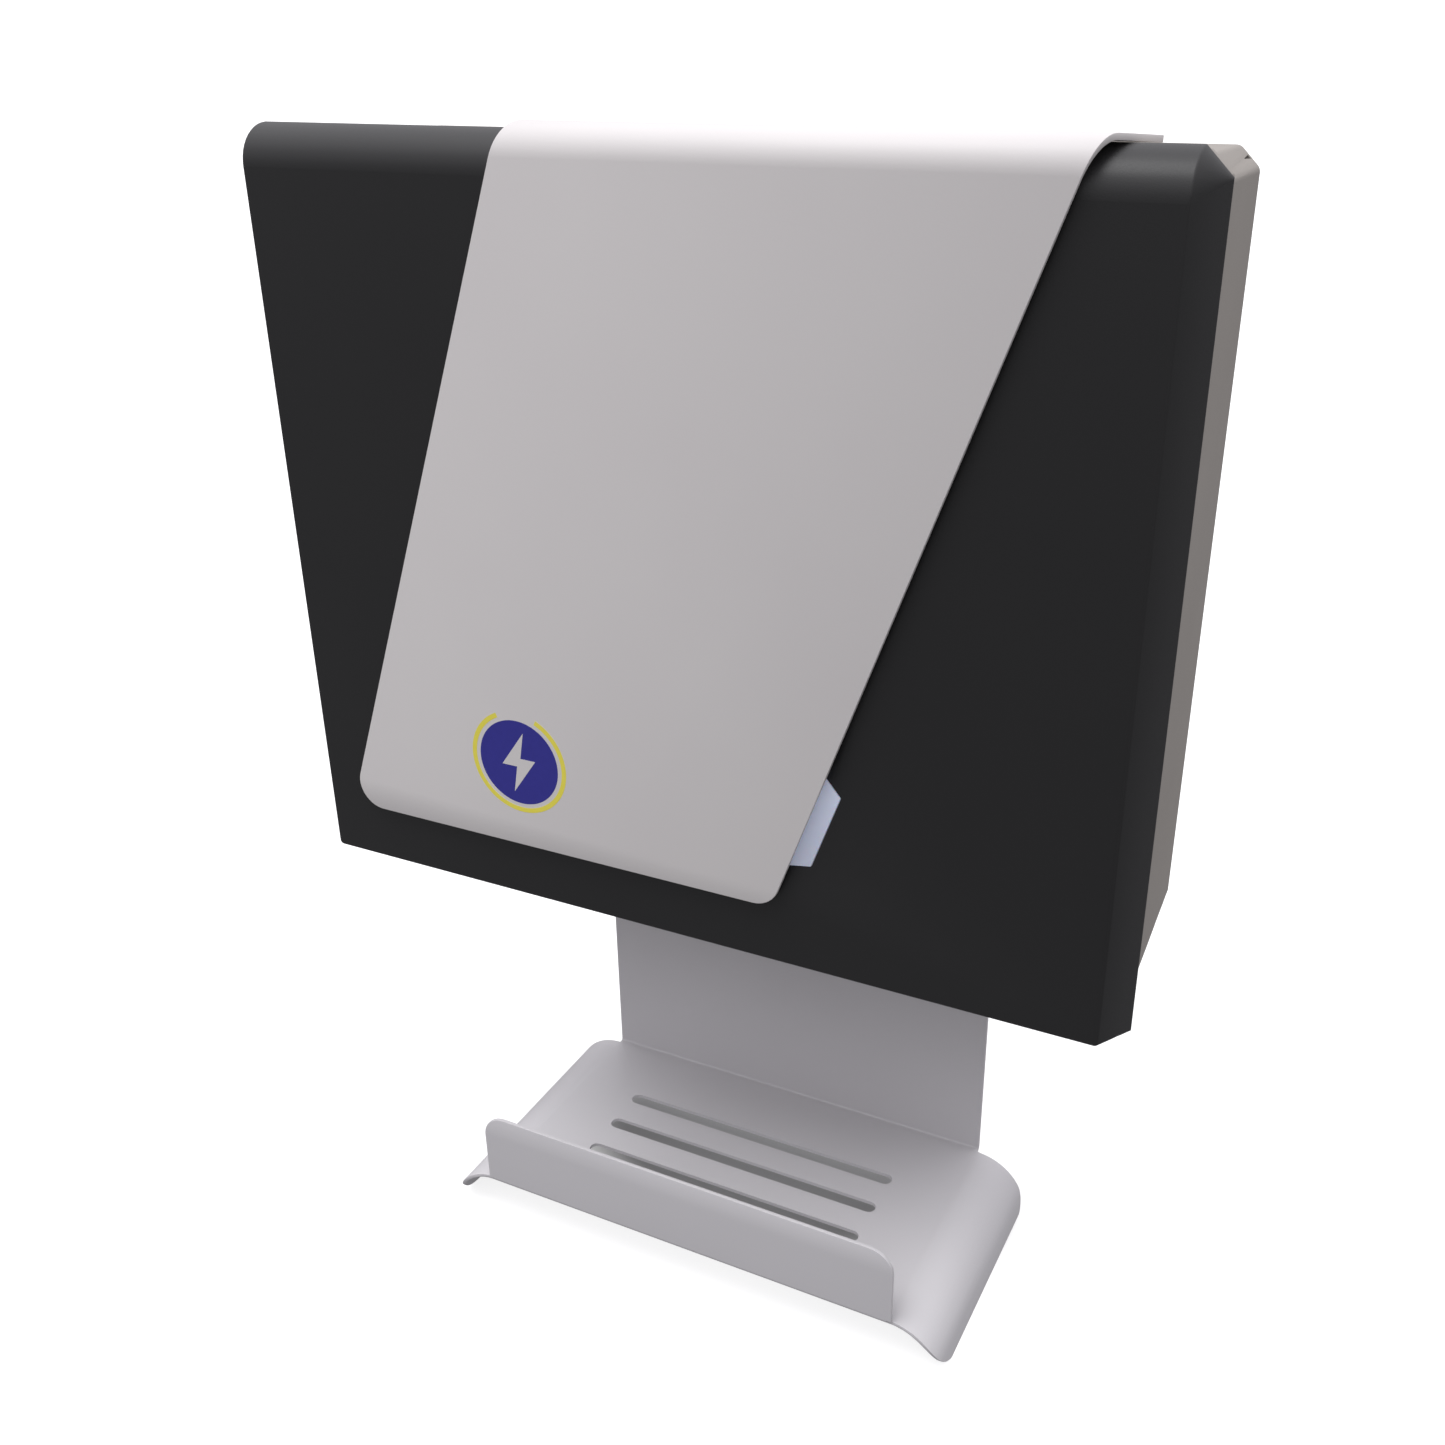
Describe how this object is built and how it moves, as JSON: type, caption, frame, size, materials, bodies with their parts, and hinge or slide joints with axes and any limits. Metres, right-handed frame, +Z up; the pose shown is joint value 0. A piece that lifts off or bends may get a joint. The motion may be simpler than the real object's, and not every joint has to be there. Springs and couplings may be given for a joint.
{
  "type": "ev charging post",
  "caption": "Wall-mounted charging box with a slanted wrap-over front panel, a lit hexagonal window, an outlet socket underneath and a bent-sheet cable hanger below.",
  "frame": {"origin": "on the wall plane, on the box's centre line, level with the box's bottom edge", "axes": "+Z up, +Y into the wall, so the front faces -Y; +X to the right seen from the front"},
  "size_m": [0.42, 0.1413, 0.5673],
  "materials": {
    "brass_bar": "satin",
    "button_plastic": "satin",
    "circuit_board": "satin",
    "contact_metal": "gloss",
    "controller_plastic": "satin",
    "cover_plastic": "satin",
    "flag_plastic": "satin",
    "gland_plastic": "satin",
    "hanger_paint": "satin",
    "housing_plastic": "satin",
    "lamp_plastic": "gloss",
    "led_lens": "gloss",
    "lever_plastic": "satin",
    "panel_paint": "satin",
    "pin_steel": "satin",
    "screw_steel": "satin",
    "seal_rubber": "matte",
    "socket_plastic": "satin",
    "spacer_plastic": "matte",
    "switchgear_plastic": "satin",
    "terminal_green": "satin",
    "terminal_grey": "satin",
    "window_opal": "satin",
    "zinc_steel": "satin"
  },
  "bodies": {
    "housing": {"cable_hanger": "hanger_paint", "charge_controller": "controller_plastic", "contactor_body": "switchgear_plastic", "controller_terminals": "terminal_green", "cover_brackets": "zinc_steel", "cover_catches": "zinc_steel", "cover_screws": "screw_steel", "din_rail": "zinc_steel", "earth_bar": "brass_bar", "earth_bar_posts": "spacer_plastic", "earth_bar_screws": "screw_steel", "end_clamps": "terminal_grey", "flap_pin": "pin_steel", "flap_spring": "pin_steel", "front_cover": "cover_plastic", "front_panel": "panel_paint", "hanger_nuts": "screw_steel", "hanger_studs": "zinc_steel", "housing_gasket": "seal_rubber", "leakage_sensor": "controller_plastic", "light_board": "circuit_board", "light_box": "lamp_plastic", "light_box_screws": "screw_steel", "light_leds": "led_lens", "light_window": "window_opal", "lock_actuator": "controller_plastic", "panel_nuts": "screw_steel", "panel_spacers": "spacer_plastic", "panel_studs": "zinc_steel", "rail_screws": "screw_steel", "rccb_body": "switchgear_plastic", "rear_housing": "housing_plastic", "socket_body": "socket_plastic", "socket_contacts": "contact_metal", "socket_gasket": "seal_rubber", "socket_insert": "socket_plastic", "socket_screws": "screw_steel", "spare_plug": "gland_plastic", "spare_plug_locknut": "gland_plastic", "supply_gland_body": "gland_plastic", "supply_gland_locknut": "gland_plastic", "supply_gland_nut": "gland_plastic", "supply_gland_seal": "seal_rubber", "supply_gland_washer": "seal_rubber", "supply_terminals": "terminal_grey", "vent_plug": "gland_plastic", "vent_plug_locknut": "gland_plastic"},
    "flap": {"socket_flap": "socket_plastic", "flap_seal": "seal_rubber"},
    "breaker_lever": {"rccb_lever": "lever_plastic"},
    "test_button": {"rccb_test_button": "button_plastic"},
    "contactor_flag": {"contactor_flag": "flag_plastic"},
    "lock_pin": {"lock_pin": "pin_steel"}
  },
  "joints": [
    {"name": "socket_flap_hinge", "type": "hinge", "parent": "housing", "child": "flap", "pos_m": [0.155, -0.0265, -0.009], "axis": [1, 0, 0], "range_deg": [0, 100], "stiffness_Nm_per_rad": 0.012, "springref_deg": -28.65},
    {"name": "breaker_lever_hinge", "type": "hinge", "parent": "housing", "child": "breaker_lever", "pos_m": [-0.16, -0.0785, 0.235], "axis": [1, 0, 0], "range_deg": [0, 60]},
    {"name": "test_button_slide", "type": "slide", "parent": "housing", "child": "test_button", "axis": [0, 1, 0], "range_m": [0, 0.0015], "stiffness_N_per_m": 300, "springref_m": -0.001},
    {"name": "contactor_flag_slide", "type": "slide", "parent": "housing", "child": "contactor_flag", "axis": [0, 1, 0], "range_m": [0, 0.002], "stiffness_N_per_m": 300, "springref_m": -0.001},
    {"name": "lock_pin_slide", "type": "slide", "parent": "housing", "child": "lock_pin", "axis": [1, 0, 0], "range_m": [0, 0.006]}
  ]
}
